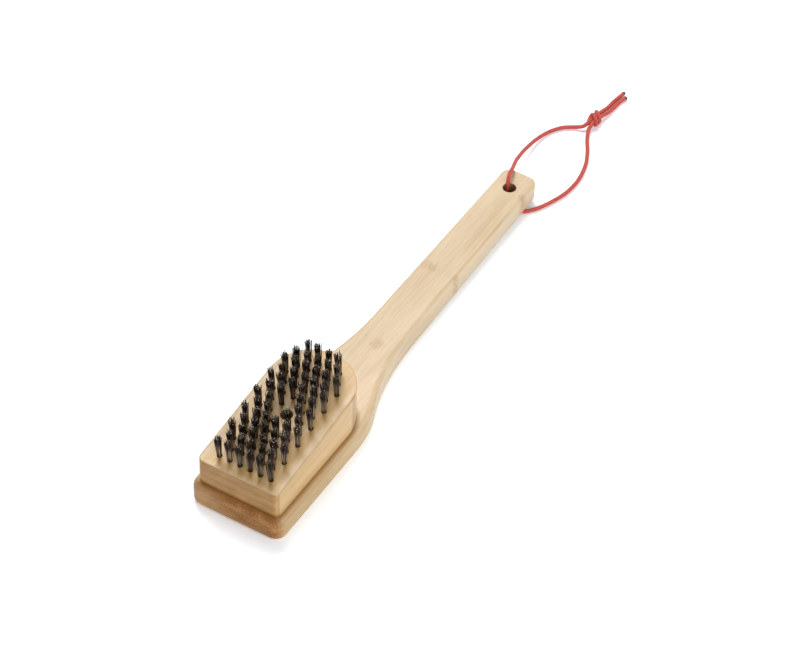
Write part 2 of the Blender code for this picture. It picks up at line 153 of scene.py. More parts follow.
# The cord's route, from the knot over the end of the grip, down the hole and back under the grip
CORD_ROUTE = [
    (0.2248, -0.0050, 0.0036),
    (0.2235, -0.0045, 0.0032),
    (0.2223, -0.0031, 0.0026),
    (0.2213, -0.0006, 0.0019),
    (0.2196, 0.0028, 0.0015),
    (0.2163, 0.0068, 0.0015),
    (0.2093, 0.0111, 0.0016),
    (0.1985, 0.0136, 0.0028),
    (0.1826, 0.0135, 0.0060),
    (0.1724, 0.0117, 0.0096),
    (0.1619, 0.0090, 0.0141),
    (0.1522, 0.0057, 0.0181),
    (0.1480, 0.0044, 0.0197),
    (0.1436, 0.0034, 0.0203),
    (0.1409, 0.0025, 0.0190),
    (0.1397, 0.0022, 0.0160),
    (0.1394, 0.0021, 0.0120),
    (0.1394, 0.0020, 0.0085),
    (0.1393, 0.0018, 0.0058),
    (0.1390, 0.0008, 0.0036),
    (0.1384, -0.0010, 0.0020),
    (0.1377, -0.0034, 0.0015),
    (0.1374, -0.0068, 0.0015),
    (0.1390, -0.0109, 0.0015),
    (0.1450, -0.0155, 0.0015),
    (0.1536, -0.0194, 0.0015),
    (0.1656, -0.0231, 0.0015),
    (0.1790, -0.0240, 0.0015),
    (0.1935, -0.0214, 0.0015),
    (0.2052, -0.0166, 0.0015),
    (0.2140, -0.0117, 0.0015),
    (0.2183, -0.0096, 0.0018),
    (0.2217, -0.0084, 0.0029),
    (0.2245, -0.0080, 0.0036),
]
LONG_TAIL_ROUTE = [
    (0.2380, -0.0068, 0.0035),
    (0.2415, -0.0073, 0.0031),
    (0.2461, -0.0078, 0.0022),
    (0.2505, -0.0079, 0.0016),
    (0.2549, -0.0081, 0.0015),
    (0.2611, -0.0090, 0.0015),
    (0.2659, -0.0097, 0.0015),
]
SHORT_TAIL_ROUTE = [
    (0.2377, -0.0095, 0.0035),
    (0.2402, -0.0099, 0.0030),
    (0.2430, -0.0103, 0.0022),
    (0.2488, -0.0108, 0.0015),
    (0.2569, -0.0114, 0.0015),
    (0.2625, -0.0129, 0.0015),
]
IN_HOLE = 17

# The knot's turns: the angle round its core from the +Y side in degrees, the distance along it in
# millimetres, and the share of its full width and height
KNOT_TURNS = [
    (-30, -6.2, 0.42),
    (-22, -4.8, 0.58),
    (-10, -3.1, 0.74),
    (4, -1.6, 0.90),
    (20, -0.3, 1.02),
    (38, 0.5, 1.06),
    (62, 0.2, 1.00),
    (90, -0.7, 0.98),
    (120, -1.8, 0.98),
    (150, -2.6, 1.00),
    (180, -3.1, 1.02),
    (203, -3.2, 1.04),
    (220, -2.4, 1.04),
    (225, -1.0, 1.04),
    (224, 0.6, 1.02),
    (228, 2.1, 0.98),
    (246, 3.3, 0.94),
    (275, 4.1, 0.94),
    (310, 4.8, 0.94),
    (345, 5.2, 0.97),
    (375, 5.1, 1.00),
    (400, 4.4, 1.00),
    (425, 3.3, 1.00),
    (450, 2.2, 1.02),
    (475, 1.4, 1.02),
    (500, 0.9, 0.95),
    (522, 0.7, 0.78),
    (545, 0.9, 0.55),
    (570, 1.6, 0.40),
    (600, 3.0, 0.30),
]

# Growth marks of the bamboo on the board: centre, half length and half width
BOARD_NODES = [
    ((0.0556, 0.0052), 0.0048, 0.0088),
    ((-0.0132, -0.0020), 0.0056, 0.0054),
    ((0.0560, -0.0118), 0.0046, 0.0036),
    ((0.1345, -0.0112), 0.0042, 0.0038),
    ((0.1104, -0.0022), 0.0012, 0.0010),
]
BLOCK_SEAM_Y = -0.0243
BLOCK_SEAM_KNOT_X = -0.0745


def camera():
    made = bpy.data.objects.new("Camera", bpy.data.cameras.new("Camera"))
    made.data.lens = CAMERA_LENS
    made.data.sensor_width = CAMERA_SENSOR
    made.data.shift_x = CAMERA_SHIFT
    turn = Matrix.Rotation(CAMERA_AZIMUTH, 4, "Z")
    tilt = Matrix.Rotation(math.pi / 2 - CAMERA_ELEVATION, 4, "X")
    roll = Matrix.Rotation(CAMERA_ROLL, 4, "Z")
    made.matrix_world = Matrix.Translation(CAMERA_PLACE) @ turn @ tilt @ roll
    bpy.context.scene.collection.objects.link(made)
    bpy.context.scene.camera = made


def add_node(tree, kind, inputs=(), **settings):
    """Add a shader node, with its settings, and its inputs given as values or as sockets to link."""
    made = tree.nodes.new("ShaderNode" + kind)
    for name, value in settings.items():
        setattr(made, name, value)
    for name, value in dict(inputs).items():
        if isinstance(value, bpy.types.NodeSocket):
            tree.links.new(value, made.inputs[name])
        else:
            made.inputs[name].default_value = value
    return made


def new_material(name, roughness, metallic=0.0):
    material = bpy.data.materials.new(name)
    material.use_nodes = True
    shader = material.node_tree.nodes["Principled BSDF"]
    shader.inputs["Roughness"].default_value = roughness
    shader.inputs["Metallic"].default_value = metallic
    return material, material.node_tree, shader


def mix_colour(tree, share, first, second, blend_type="MIX"):
    """A colour between two, by a share from 0 to 1. Inputs 6 and 7 are the colours, output 2 the mix."""
    made = add_node(tree, "Mix", data_type="RGBA", blend_type=blend_type)
    for index, value in ((0, share), (6, first), (7, second)):
        if isinstance(value, bpy.types.NodeSocket):
            tree.links.new(value, made.inputs[index])
        else:
            made.inputs[index].default_value = value if index == 0 else (*value, 1.0)
    return made.outputs[2]


def ramp(tree, value, low, high, start=0.0, end=1.0):
    """A value moved from between low and high to between start and end, and held there."""
    inputs = {"Value": value, "From Min": low, "From Max": high, "To Min": start, "To Max": end}
    return add_node(tree, "MapRange", inputs, interpolation_type="SMOOTHSTEP").outputs[0]


def maths(tree, operation, *values):
    made = add_node(tree, "Math", dict(enumerate(values)), operation=operation)
    return made.outputs[0]


def stretched_noise(tree, where, scale, detail, roughness=0.55):
    """Noise with its own scale along each axis, in cycles to the metre."""
    placed = add_node(tree, "Mapping", {"Vector": where, "Scale": scale})
    inputs = {"Vector": placed.outputs[0], "Scale": 1.0, "Detail": detail, "Roughness": roughness}
    return add_node(tree, "TexNoise", inputs).outputs["Fac"]


def near_line(tree, across, along, centre, half_width, swelling_at):
    """1 on a thin line at its centre, which swells to a lens at one place along it, and 0 beside it."""
    offset = maths(tree, "ABSOLUTE", maths(tree, "SUBTRACT", across, centre))
    past = maths(tree, "ABSOLUTE", maths(tree, "SUBTRACT", along, swelling_at))
    reach = ramp(tree, past, 0.0, 0.0055, 2.6 * half_width, half_width)
    return ramp(tree, maths(tree, "DIVIDE", offset, reach), 0.3, 1.0, 1.0, 0.0)


def near_joint(tree, x, y, z):
    """How near a point is to the line where the block meets the board: a broad share and a close one."""
    past = maths(tree, "MAXIMUM", maths(tree, "SUBTRACT", x, BLOCK_ARC_X), 0.0)
    out = add_node(tree, "CombineXYZ", {0: past, 1: y})
    out = add_node(tree, "VectorMath", {0: out.outputs[0]}, operation="LENGTH").outputs["Value"]
    beside = maths(tree, "SUBTRACT", out, BLOCK_HALF_WIDTH)
    beside = maths(tree, "MAXIMUM", beside, maths(tree, "SUBTRACT", BLOCK_LOW.x, x))
    above = maths(tree, "SUBTRACT", z, BLOCK_LOW.z)
    away = add_node(tree, "CombineXYZ", {0: beside, 1: above})
    away = add_node(tree, "VectorMath", {0: away.outputs[0]}, operation="LENGTH").outputs["Value"]
    return ramp(tree, away, 0.0010, 0.0028, 1.0, 0.0), ramp(tree, away, 0.0001, 0.0009, 0.75, 0.0)


def bamboo(
    name, light, dark, end_light, end_dark, end_fade, layer_edge, layer_height, pale_layer, layer_band,
    side_shade_colour, end_x, marks=(), seam=None,
):
    """Planed and lightly oiled bamboo, laid up from strips that run along X, in layers across Z."""
    material, tree, shader = new_material(name, 0.5)
    where = add_node(tree, "TexCoord")
    place = where.outputs["Object"]
    x, y, z = add_node(tree, "SeparateXYZ", {0: place}).outputs
    facing = add_node(tree, "SeparateXYZ", {0: where.outputs["Normal"]})
    upright = ramp(tree, maths(tree, "ABSOLUTE", facing.outputs[2]), 0.3, 0.9, 1.0, 0.0)
    end_on = ramp(tree, maths(tree, "ABSOLUTE", facing.outputs[0]), 0.6, 0.95)
    end_on = maths(tree, "MAXIMUM", end_on, ramp(tree, x, end_x - 0.0052, end_x, 1.0, 0.0))

    # Growth of the strips: broad changes of tone, fibres, and short dark vessels
    broad = stretched_noise(tree, place, (9, 60, 60), 3)
    fibres = stretched_noise(tree, place, (22, 520, 520), 5, 0.6)
    fine = stretched_noise(tree, place, (110, 2600, 2600), 2)
    shade = maths(tree, "ADD", maths(tree, "MULTIPLY", fibres, 0.40), maths(tree, "MULTIPLY", fine, 0.20))
    shade = maths(tree, "ADD", shade, maths(tree, "MULTIPLY", broad, 0.55))
    colour = mix_colour(tree, ramp(tree, shade, 0.42, 0.76), light, dark)
    vessels = ramp(tree, stretched_noise(tree, place, (60, 1700, 1700), 2), 0.64, 0.78, 0.0, 0.30)
    colour = mix_colour(tree, vessels, colour, (0.40, 0.26, 0.13))

    # Layers, seen on the sides: one paler, and a thin glue line between two
    layer = maths(tree, "DIVIDE", maths(tree, "SUBTRACT", z, layer_edge), layer_height)
    from_pale = maths(tree, "ABSOLUTE", maths(tree, "SUBTRACT", layer, pale_layer + 0.5))
    pale = maths(tree, "MULTIPLY", upright, ramp(tree, from_pale, 0.2, 0.9, 0.6, 0.0))
    colour = mix_colour(tree, pale, colour, [min(1.0, c * 1.07) for c in light])
    glue = maths(tree, "ABSOLUTE", maths(tree, "SUBTRACT", maths(tree, "FRACT", layer), 0.5))
    glue_line = maths(tree, "MULTIPLY", upright, ramp(tree, glue, 0.45, 0.5, 0.0, 0.12))
    colour = mix_colour(tree, glue_line, colour, (0.42, 0.26, 0.12))
    # Painted shade: upright faces on the head are tinted darker and warmer, as sides look in shade; the tint
    # fades out toward the grip.
    painted_side_shade = maths(tree, "MULTIPLY", upright, ramp(tree, x, -0.070, -0.025, 1.0, 0.0))
    colour = mix_colour(tree, painted_side_shade, colour, side_shade_colour, "MULTIPLY")
    # Painted light: upright faces toward the grip end are blended paler, as the sides there look where more
    # light reaches them.
    painted_grip_side_light = maths(tree, "MULTIPLY", upright, ramp(tree, x, -0.030, 0.080, 0.0, 0.50))
    colour = mix_colour(tree, painted_grip_side_light, colour, (0.84, 0.68, 0.46))

    # Growth rings of the stem, speckled brown
    grain = stretched_noise(tree, place, (520, 2100, 2100), 2)
    ragged = stretched_noise(tree, place, (160, 700, 700), 2)
    for (centre_x, centre_y), half_length, half_width in marks:
        along = maths(tree, "DIVIDE", maths(tree, "SUBTRACT", x, centre_x), half_length)
        across = maths(tree, "DIVIDE", maths(tree, "SUBTRACT", y, centre_y), half_width)
        away = add_node(tree, "CombineXYZ", {0: along, 1: across})
        away = add_node(tree, "VectorMath", {0: away.outputs[0]}, operation="LENGTH").outputs["Value"]
        away = maths(tree, "ADD", away, maths(tree, "MULTIPLY", maths(tree, "SUBTRACT", ragged, 0.5), 1.2))
        near = ramp(tree, away, 0.1, 1.1, 1.0, 0.0)
        spots = maths(tree, "MULTIPLY", near, ramp(tree, grain, 0.42, 0.60, 0.26, 0.85))
        colour = mix_colour(tree, spots, colour, (0.52, 0.32, 0.125))
    if seam:
        # Painted shade: the up-facing top among the tufts is made darker and more golden, as it looks in the
        # shade the tufts cast on it.
        inside = ramp(tree, maths(tree, "ABSOLUTE", y), 0.0185, 0.0235, 1.0, 0.0)
        inside = maths(tree, "MULTIPLY", inside, ramp(tree, x, end_x + 0.0012, end_x + 0.0035))
        inside = maths(tree, "MULTIPLY", inside, ramp(tree, facing.outputs[2], 0.9, 0.98, 0.0, 0.95))
        colour = mix_colour(tree, inside, colour, (0.98, 0.83, 0.50), "MULTIPLY")
        line = near_line(tree, y, x, seam[0], 0.00050, seam[1])
        colour = mix_colour(tree, maths(tree, "MULTIPLY", line, 0.85), colour, (0.45, 0.26, 0.09))

    # End grain: darker and warmer, with packed vessels and dark bands where the layers meet
    pores = stretched_noise(tree, place, (300, 1500, 1500), 2)
    patches = stretched_noise(tree, place, (40, 75, 190), 2)
    mottle = maths(tree, "ADD", maths(tree, "MULTIPLY", pores, 0.45), maths(tree, "MULTIPLY", patches, 0.55))
    end_colour = mix_colour(tree, ramp(tree, mottle, 0.38, 0.62), end_light, end_dark)
    end_colour = mix_colour(tree, ramp(tree, y, 0.0, 0.022, 0.0, end_fade), end_colour, (0.68, 0.44, 0.22))
    band = ramp(tree, glue, 0.20, 0.50, 0.0, layer_band)
    end_colour = mix_colour(tree, band, end_colour, [c * 0.72 for c in end_dark])
    colour = mix_colour(tree, end_on, colour, end_colour)
    dull = maths(tree, "SUBTRACT", 0.8, maths(tree, "MULTIPLY", end_on, 0.6))
    tree.links.new(dull, shader.inputs["Specular IOR Level"])

    # Painted shade at the joint where the block meets the board, in a broad band and a close line, and the
    # drilled walls, browned by the drill and darkened as painted shade inside the holes
    broad_joint_shade, close_joint_shade = near_joint(tree, x, y, z)
    colour = mix_colour(tree, broad_joint_shade, colour, (0.78, 0.62, 0.35), "MULTIPLY")
    colour = mix_colour(tree, close_joint_shade, colour, (0.66, 0.52, 0.30), "MULTIPLY")
    # Drilled walls take a dark brown: partly browning by the drill, partly painted shade inside the holes.
    bored = add_node(tree, "Attribute", attribute_name="bored").outputs["Fac"]
    colour = mix_colour(tree, bored, colour, (0.42, 0.25, 0.115))
    tree.links.new(colour, shader.inputs["Base Color"])

    gloss = ramp(tree, fibres, 0.3, 0.7, 0.40, 0.50)
    tree.links.new(gloss, shader.inputs["Roughness"])
    relief = maths(tree, "ADD", fibres, maths(tree, "MULTIPLY", fine, 0.6))
    bump = add_node(tree, "Bump", {"Height": relief, "Strength": 0.22, "Distance": 0.0001})
    tree.links.new(bump.outputs[0], shader.inputs["Normal"])
    shader.inputs["Subsurface Weight"].default_value = 0.5
    shader.inputs["Subsurface Radius"].default_value = (1.0, 0.4, 0.15)
    shader.inputs["Subsurface Scale"].default_value = 0.003
    return material


def wire_steel():
    """Dark tempered wire, each wire with its own tone."""
    material, tree, shader = new_material("bristle_wire", 0.38, 0.40)
    tone = add_node(tree, "Attribute", attribute_name="tone").outputs["Fac"]
    height = add_node(tree, "Attribute", attribute_name="height").outputs["Fac"]
    # Each wire has its own tone at random, most of them dark; the palest are partly painted highlights,
    # streaks of light along the tufts.
    colour = mix_colour(tree, tone, (0.085, 0.062, 0.042), (0.82, 0.68, 0.53))
    # Painted shade: wires darkened to brown toward the root, down in its hole, and to near black toward the
    # tip, where the wires shade each other.
    colour = mix_colour(tree, ramp(tree, height, 0.15, 0.38, 0.85, 0.0), colour, (0.075, 0.028, 0.010))
    colour = mix_colour(tree, ramp(tree, height, 0.50, 0.86, 0.0, 0.94), colour, (0.015, 0.008, 0.005))
    # Brighter cut ends: bare steel at the cut, and painted glints on the random few that are bright.
    end = add_node(tree, "Attribute", attribute_name="cut_end").outputs["Fac"]
    colour = mix_colour(tree, end, colour, (0.55, 0.50, 0.44))
    tree.links.new(colour, shader.inputs["Base Color"])
    tree.links.new(ramp(tree, height, 0.45, 0.80, 0.5, 0.12), shader.inputs["Specular IOR Level"])
    return material


def screw_steel():
    """Zinc-plated steel with fine turning marks."""
    material, tree, shader = new_material("screw_steel", 0.32, 1.0)
    where = add_node(tree, "TexCoord")
    blotches = stretched_noise(tree, where.outputs["Object"], (900, 900, 2500), 3)
    colour = mix_colour(tree, blotches, (0.42, 0.42, 0.40), (0.62, 0.61, 0.57))
    tree.links.new(colour, shader.inputs["Base Color"])
    tree.links.new(ramp(tree, blotches, 0.3, 0.7, 0.25, 0.42), shader.inputs["Roughness"])
    return material


def braided_cord():
    """Red braided cord: grooves between the yarns painted dark as shade, soft sheen, and sealed brown ends.
    """
    material, tree, shader = new_material("cord_red", 0.66)
    ridge = add_node(tree, "Attribute", attribute_name="ridge").outputs["Fac"]
    sealed = add_node(tree, "Attribute", attribute_name="sealed").outputs["Fac"]
    where = add_node(tree, "TexCoord")
    fuzz = stretched_noise(tree, where.outputs["Object"], (2500, 2500, 2500), 2)
    # Painted shade: the grooves between the yarns are coloured near-black red, the ridges bright red.
    colour = mix_colour(tree, ramp(tree, ridge, 0.2, 0.80), (0.17, 0.006, 0.010), (0.92, 0.130, 0.092))
    # Painted sheen: paler specks by noise where the yarns' fuzz catches the light.
    colour = mix_colour(tree, ramp(tree, fuzz, 0.45, 0.75, 0.0, 0.35), colour, (0.95, 0.33, 0.23))
    colour = mix_colour(tree, sealed, colour, (0.060, 0.018, 0.012))
    tree.links.new(colour, shader.inputs["Base Color"])
    shader.inputs["Sheen Weight"].default_value = 0.10
    shader.inputs["Sheen Roughness"].default_value = 0.4
    return material


def set_down(obj, name, material):
    """Name a finished piece and give it its material."""
    obj.name = name
    obj.data.name = name
    obj.data.materials.clear()
    obj.data.materials.append(material)
    return obj


def clear_selection():
    if bpy.context.object and bpy.context.object.mode == "EDIT":
        bpy.ops.object.mode_set(mode="OBJECT")
    bpy.ops.object.select_all(action="DESELECT")


def apply_place(obj):
    """Move a primitive's place, turn and size into its mesh."""
    clear_selection()
    obj.select_set(True)
    bpy.context.view_layer.objects.active = obj
    bpy.ops.object.transform_apply(location=True, rotation=True, scale=True)


def edit(obj):
    clear_selection()
    obj.select_set(True)
    bpy.context.view_layer.objects.active = obj
    bpy.ops.object.mode_set(mode="EDIT")


def pick(kind, test):
    """In edit mode, select only the vertices, edges or faces that pass a test."""
    bpy.ops.mesh.select_mode(type={"verts": "VERT", "edges": "EDGE", "faces": "FACE"}[kind])
    bpy.ops.mesh.select_all(action="DESELECT")
    shape = bmesh.from_edit_mesh(bpy.context.object.data)
    for item in getattr(shape, kind):
        if test(item):
            item.select_set(True)
    shape.select_flush_mode()
    bmesh.update_edit_mesh(bpy.context.object.data)


def close_edit():
    """Turn the faces outward and leave edit mode."""
    bpy.ops.mesh.select_mode(type="VERT")
    bpy.ops.mesh.select_all(action="SELECT")
    bpy.ops.mesh.remove_doubles(threshold=1e-6)
    bpy.ops.mesh.normals_make_consistent(inside=False)
    bpy.ops.object.mode_set(mode="OBJECT")


def in_fixed_order(obj):
    """Number a mesh's points and faces by their place, so that each run cuts and splits it alike."""
    mesh = obj.data
    places = [tuple(round(c, 7) for c in v.co) for v in mesh.vertices]
    order = sorted(range(len(places)), key=places.__getitem__)
    number = {old: new for new, old in enumerate(order)}
    faces = []
    for face in mesh.polygons:
        corners = [number[i] for i in face.vertices]
        first = corners.index(min(corners))
        faces.append(corners[first:] + corners[:first])
    mesh.clear_geometry()
    mesh.from_pydata([places[i] for i in order], [], sorted(faces))


def add_modifier(obj, kind, **settings):
    """Add a modifier, apply it, and leave the object as it stands."""
    clear_selection()
    obj.select_set(True)
    bpy.context.view_layer.objects.active = obj
    modifier = obj.modifiers.new(kind.title(), kind)
    for name, value in settings.items():
        setattr(modifier, name, value)
    bpy.ops.object.modifier_apply(modifier=modifier.name)


def cut(obj, tool, operation="DIFFERENCE"):
    """Cut a piece with a tool, or join the tool to it, and throw the tool away."""
    add_modifier(obj, "BOOLEAN", operation=operation, solver="EXACT", object=tool)
    bpy.data.objects.remove(tool, do_unlink=True)


def smooth(obj, angle=math.radians(35)):
    """Shade a piece smooth, sharp at its edges, with flat faces kept flat."""
    clear_selection()
    obj.select_set(True)
    bpy.context.view_layer.objects.active = obj
    bpy.ops.object.shade_smooth_by_angle(angle=angle)
    add_modifier(obj, "WEIGHTED_NORMAL", keep_sharp=True, weight=50)


def drill_bit(diameter, bottom, top, x, y=0.0, sides=48):
    bpy.ops.mesh.primitive_cylinder_add(
        vertices=sides, radius=diameter / 2, depth=top - bottom, location=(x, y, (top + bottom) / 2)
    )
    bit = bpy.context.object
    apply_place(bit)
    return bit


def bezier(start, leave, arrive, stop, share):
    rest = 1 - share
    parts = (rest**3, 3 * rest**2 * share, 3 * rest * share**2, share**3)
    return [sum(p * point[axis] for p, point in zip(parts, (start, leave, arrive, stop))) for axis in (0, 1)]


def board_side():
    """The +Y side of the board's outline, from front to rear, before its corners are rounded."""
    half_paddle, half_neck, half_end = BOARD_HIGH.y, GRIP_NECK_WIDTH / 2, GRIP_END_WIDTH / 2
    neck_end_x = BLOCK_ARC_X + NECK_LENGTH
    taper = (half_end - half_neck) / (GRIP_END_X - neck_end_x)
    tangent = (1 + GRIP_CORNER_RADIUS / NECK_LENGTH, taper * GRIP_CORNER_RADIUS / (half_paddle - half_neck))
    side = [(BOARD_LOW.x, half_paddle), (BOARD_LOW.x + 2 * PADDLE_CORNER_RADIUS, half_paddle)]
    for (_, start, leave), (arrive, stop, _) in zip(NECK_CURVE, NECK_CURVE[1:]):
        for step in range(NECK_STEPS + (stop is NECK_CURVE[-1][1])):
            along, across = bezier(start, leave or tangent, arrive, stop, step / NECK_STEPS)
            side.append((BLOCK_ARC_X + along * NECK_LENGTH, half_neck + across * (half_paddle - half_neck)))
    middle_x = (neck_end_x + GRIP_END_X) / 2
    side.append((middle_x, half_neck + taper * (middle_x - neck_end_x)))
    side.append((GRIP_END_X, half_end))
    return side


def mark_bores(obj, in_bore):
    """Keep on each face whether it is the wall of a drilled hole: upright, with all its corners inside."""
    points = obj.data.vertices
    bored = []
    for face in obj.data.polygons:
        bored.append(float(abs(face.normal.z) < 0.5 and all(in_bore(points[i].co) for i in face.vertices)))
    obj.data.attributes.new("bored", "FLOAT", "FACE").data.foreach_set("value", bored)


def round_over(board, neck_front_x, neck_rear_x):
    """Round the board's long edges, fuller on the paddle than on the grip, by a weight on each edge."""
    middle = (BOARD_HIGH.z + BOARD_LOW.z) / 2
    points = board.data.vertices
    weights = []
    for edge in board.data.edges:
        ends = [points[i].co for i in edge.vertices]
        level = all(c.z > middle for c in ends) or all(c.z < middle for c in ends)
        across = all(abs(abs(c.y) - GRIP_NECK_WIDTH / 2) < 0.002 for c in ends) and ends[0].y * ends[1].y < 0
        inner = across and max(c.x for c in ends) < GRIP_END_X - 0.001
        x = (ends[0].x + ends[1].x) / 2
        share = min(1.0, max(0.0, (x - neck_front_x) / (neck_rear_x - neck_front_x)))
        on_top = ends[0].z > middle
        full, slight = (PADDLE_TOP_ROUND, GRIP_TOP_ROUND) if on_top else (PADDLE_BACK_ROUND, GRIP_BACK_ROUND)
        width = full + (slight - full) * share
        weights.append(width / PADDLE_TOP_ROUND if level and not inner else 0.0)
    board.data.attributes.new("bevel_weight_edge", "FLOAT", "EDGE").data.foreach_set("value", weights)
    add_modifier(
        board, "BEVEL", limit_method="WEIGHT", offset_type="OFFSET", width=PADDLE_TOP_ROUND, segments=7,
        use_clamp_overlap=False,
    )


def handle_board(material):
    """The board: paddle, neck and grip in one plank, drilled, with its long edges rounded over."""
    side = board_side()
    bpy.ops.mesh.primitive_plane_add(size=1)
    board = bpy.context.object
    edit(board)
    pick("edges", lambda e: abs(e.verts[0].co.y - e.verts[1].co.y) < 0.5)
    bpy.ops.mesh.subdivide(number_cuts=len(side) - 2)
    bpy.ops.object.mode_set(mode="OBJECT")
    for v in board.data.vertices:
        x, y = side[round((v.co.x + 0.5) * (len(side) - 1))]
        v.co = (x, math.copysign(y, v.co.y), BOARD_HIGH.z)
    edit(board)
    pick("edges", lambda e: not e.is_boundary)
    bpy.ops.mesh.dissolve_edges(use_verts=False)
    for x, radius in ((BOARD_LOW.x, PADDLE_CORNER_RADIUS), (GRIP_END_X, GRIP_CORNER_RADIUS)):
        pick("verts", lambda v: abs(v.co.x - x) < 1e-5)
        bpy.ops.mesh.bevel(offset=radius, segments=10, affect="VERTICES", offset_type="OFFSET")
    bpy.ops.mesh.select_all(action="SELECT")
    thickness = BOARD_HIGH.z - BOARD_LOW.z
    bpy.ops.mesh.extrude_region_move(TRANSFORM_OT_translate={"value": (0, 0, -thickness)})
    close_edit()

    # The underside slopes up from a crease under the grip, to leave room for the cord
    middle = BOARD_HIGH.z - thickness / 2
    crease_x = min((v.co.x for v in board.data.vertices), key=lambda x: abs(x - RELIEF_X))
    edit(board)
    pick("verts", lambda v: v.co.z < middle and abs(v.co.x - crease_x) < 1e-5)
    bpy.ops.mesh.vert_connect()
    bpy.ops.object.mode_set(mode="OBJECT")
    slope = GRIP_LIFT / (HANG_HOLE_X - crease_x)
    for v in board.data.vertices:
        if v.co.z < middle:
            v.co.z = max(0.0, (v.co.x - crease_x) * slope)

    in_fixed_order(board)
    round_over(board, BLOCK_ARC_X + 0.25 * NECK_LENGTH, BLOCK_ARC_X + NECK_LENGTH)
    in_fixed_order(board)
    cut(board, drill_bit(HANG_HOLE_DIAMETER, -thickness, 2 * thickness, HANG_HOLE_X, sides=64))
    cut(board, drill_bit(SHANK_PASSAGE_DIAMETER, SCREW_LOW.z - 0.001, 2 * thickness, SCREW_X))
    radius = HANG_HOLE_DIAMETER / 2
    edit(board)

    def on_rim(edge):
        ends = [v.co for v in edge.verts]
        if any(abs(math.hypot(c.x - HANG_HOLE_X, c.y) - radius) > 1e-5 for c in ends):
            return False
        return abs(ends[0].z - ends[1].z) < thickness / 4

    pick("edges", on_rim)
    bpy.ops.mesh.bevel(offset=HOLE_RIM_ROUND, segments=3, affect="EDGES")
    close_edit()
    in_fixed_order(board)

    def in_bore(place):
        in_hang_hole = math.hypot(place.x - HANG_HOLE_X, place.y) < radius + 0.2 * HOLE_RIM_ROUND
        return in_hang_hole or math.hypot(place.x - SCREW_X, place.y) < SHANK_PASSAGE_DIAMETER / 2 + 1e-5

    mark_bores(board, in_bore)
    set_down(board, "handle_board", material)
    smooth(board)
    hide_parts("handle")
    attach(board, "handle_body")


def tuft_rows():
    """Each row's distance up the sloped top, with the places of its tufts across the block."""
    screw_up = BLOCK_LENGTH / 2 / math.cos(BLOCK_SLOPE)
    rows = []
    up = TUFT_FRONT_MARGIN
    while up * math.cos(BLOCK_SLOPE) <= BLOCK_LENGTH - TUFT_SIDE_MARGIN:
        past = up * math.cos(BLOCK_SLOPE) - (BLOCK_LENGTH - BLOCK_HALF_WIDTH)
        half_width = math.sqrt(BLOCK_HALF_WIDTH**2 - max(0.0, past) ** 2)
        offset = 0.5 if len(rows) % 2 == 0 else 0.0
        most = math.floor((half_width - TUFT_SIDE_MARGIN) / TUFT_PITCH_ACROSS - offset)
        half = [(k + offset) * TUFT_PITCH_ACROSS for k in range(most + 1)]
        across = sorted({*half, *[-y for y in half]})
        across = [y for y in across if math.hypot(up - screw_up, y) > SCREW_FREE_RADIUS]
        if abs(up - screw_up) < SCREW_FREE_RADIUS:
            rows.append((up, {"_right": [y for y in across if y < 0], "_left": [y for y in across if y > 0]}))
        else:
            rows.append((up, {"": across}))
        up += TUFT_PITCH_ALONG
    return rows


def on_slope(up, across, above=0.0):
    """A point given by its place on the sloped top and its height above it."""
    front = Vector((BLOCK_LOW.x, 0.0, BLOCK_LOW.z + BLOCK_FRONT_HEIGHT))
    along = Vector((math.cos(BLOCK_SLOPE), 0.0, math.sin(BLOCK_SLOPE)))
    normal = Vector((-math.sin(BLOCK_SLOPE), 0.0, math.cos(BLOCK_SLOPE)))
    return front + along * up + Vector((0.0, across, 0.0)) + normal * above


def tuft_bits(rows):
    """One bit for each tuft hole, standing square to the sloped top, joined in one object."""
    bpy.ops.mesh.primitive_cylinder_add(
        vertices=20, radius=TUFT_HOLE_DIAMETER / 2, depth=2 * TUFT_HOLE_DEPTH, rotation=(0, -BLOCK_SLOPE, 0)
    )
    first = bpy.context.object
    apply_place(first)
    bits = []
    for up, sides in rows:
        for across in sides.values():
            for y in across:
                bit = first.copy()
                bit.data = first.data.copy()
                bit.location = on_slope(up, y)
                bpy.context.scene.collection.objects.link(bit)
                bits.append(bit)
    bpy.data.objects.remove(first, do_unlink=True)
    clear_selection()
    for bit in bits:
        bit.select_set(True)
    bpy.context.view_layer.objects.active = bits[0]
    bpy.ops.object.join()
    apply_place(bits[0])
    return bits[0]


